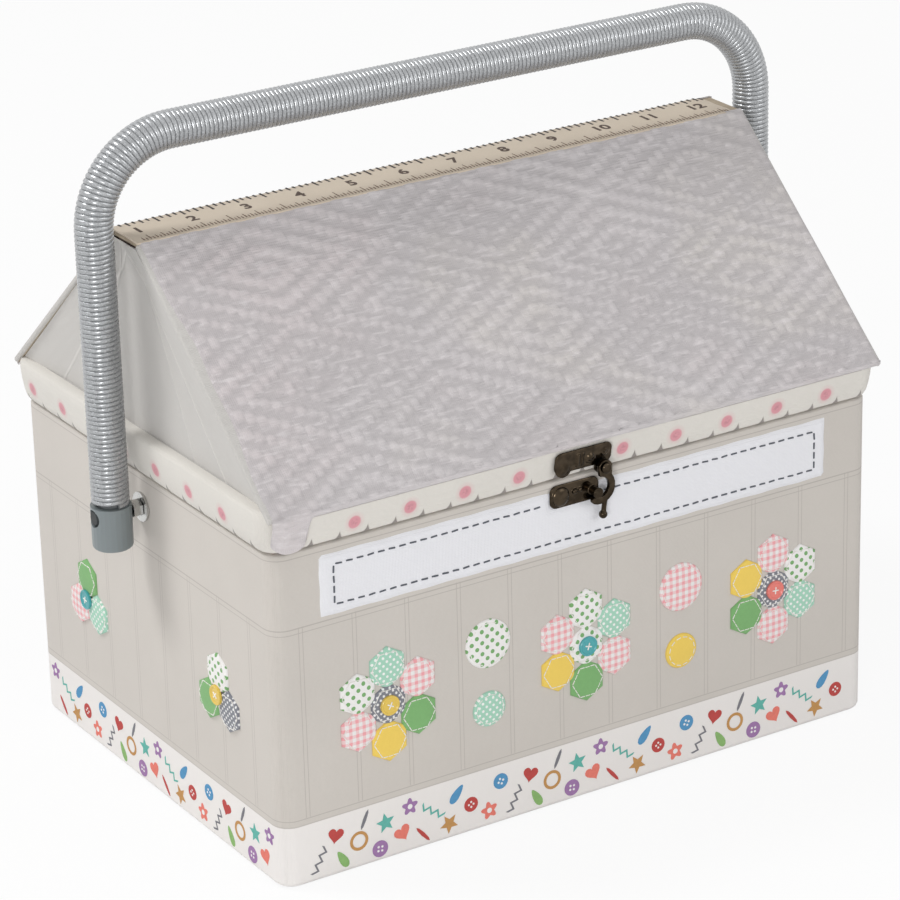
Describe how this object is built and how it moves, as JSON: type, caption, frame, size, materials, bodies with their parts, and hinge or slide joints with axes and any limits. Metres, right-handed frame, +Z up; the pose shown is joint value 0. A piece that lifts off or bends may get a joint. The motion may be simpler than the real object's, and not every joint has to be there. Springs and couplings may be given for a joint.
{
  "type": "sewing basket",
  "caption": "House-shaped fabric-covered sewing box with a hinged roof lid, swing handle, hook latch and lift-out tray.",
  "frame": {"origin": "middle of the underside of the box, on the surface that it stands on", "axes": "+X along the ridge and the front, to the right as seen from the front; the front with the latch faces -Y; +Z up"},
  "size_m": [0.3468, 0.2285, 0.3047],
  "materials": {
    "greyboard": "uncoated grey board",
    "printed_cotton": "printed cotton over thin padding",
    "rim_cotton": "cream cotton with printed dots and a scalloped edge",
    "gable_cotton": "plain cotton",
    "quilted_cotton": "light grey diamond-woven cotton",
    "tape_ribbon": "woven ribbon printed with ruler marks",
    "lining_cotton": "plain pink lining cotton",
    "tray_plastic": "moulded off-white plastic",
    "handle_cord": "tightly wound grey plastic cord",
    "core_plastic": "plastic rod under the winding",
    "cap_plastic": "blue-grey moulded plastic",
    "bright_steel": "bright plated steel",
    "antique_bronze": "dark antique bronze finish"
  },
  "bodies": {
    "body": {"base_board": "greyboard", "front_board": "greyboard", "rear_board": "greyboard", "left_board": "greyboard", "right_board": "greyboard", "body_cover": "printed_cotton", "base_cloth": "printed_cotton", "body_lining": "lining_cotton", "floor_lining": "lining_cotton", "tray_ledge_left": "lining_cotton", "tray_ledge_right": "lining_cotton", "pivot_bolt_left": "bright_steel", "pivot_bolt_right": "bright_steel", "pivot_washer_left": "bright_steel", "pivot_washer_right": "bright_steel", "pivot_locknut_left": "bright_steel", "pivot_locknut_right": "bright_steel", "pivot_inner_washer_left": "bright_steel", "pivot_inner_washer_right": "bright_steel", "pivot_inner_nut_left": "bright_steel", "pivot_inner_nut_right": "bright_steel", "hinge_pin_left": "bright_steel", "hinge_pin_right": "bright_steel", "hinge_body_leaf_left": "antique_bronze", "hinge_body_leaf_right": "antique_bronze", "latch_keeper": "antique_bronze"},
    "lid": {"lid_front_rail": "greyboard", "lid_rear_rail": "greyboard", "lid_left_gable": "greyboard", "lid_right_gable": "greyboard", "roof_front_board": "greyboard", "roof_rear_board": "greyboard", "ridge_board": "greyboard", "rim_cover": "rim_cotton", "gable_cloth_left": "gable_cotton", "gable_cloth_right": "gable_cotton", "roof_front_quilt": "quilted_cotton", "roof_rear_quilt": "quilted_cotton", "ridge_ribbon": "tape_ribbon", "lid_front_lining": "lining_cotton", "lid_rear_lining": "lining_cotton", "lid_pocket": "lining_cotton", "pincushion": "quilted_cotton", "hinge_lid_leaf_left": "antique_bronze", "hinge_lid_leaf_right": "antique_bronze", "latch_plate": "antique_bronze", "latch_rivet": "antique_bronze"},
    "handle": {"handle_core": "core_plastic", "handle_winding": "handle_cord", "handle_cap_left": "cap_plastic", "handle_cap_right": "cap_plastic"},
    "hook": {"latch_hook": "antique_bronze"},
    "tray": {"tray": "tray_plastic"}
  },
  "joints": [
    {"name": "lid_open", "type": "hinge", "parent": "body", "child": "lid", "pos_m": [0, 0.111, 0.1505], "axis": [-1, 0, 0], "range_deg": [0, 80]},
    {"name": "handle_swing", "type": "hinge", "parent": "body", "child": "handle", "pos_m": [0, 0, 0.1354], "axis": [-1, 0, 0], "range_deg": [-130, 130]},
    {"name": "hook_swing", "type": "hinge", "parent": "lid", "child": "hook", "pos_m": [0.0078, -0.1121, 0.1527], "axis": [0, -1, 0], "range_deg": [0, 110]},
    {"name": "tray_lift", "type": "slide", "parent": "body", "child": "tray", "axis": [0, 0, 1], "range_m": [0, 0.034]}
  ],
  "couplings": [
    {"joint": "handle_swing", "follows": "lid_open", "ratio": 1.6}
  ]
}
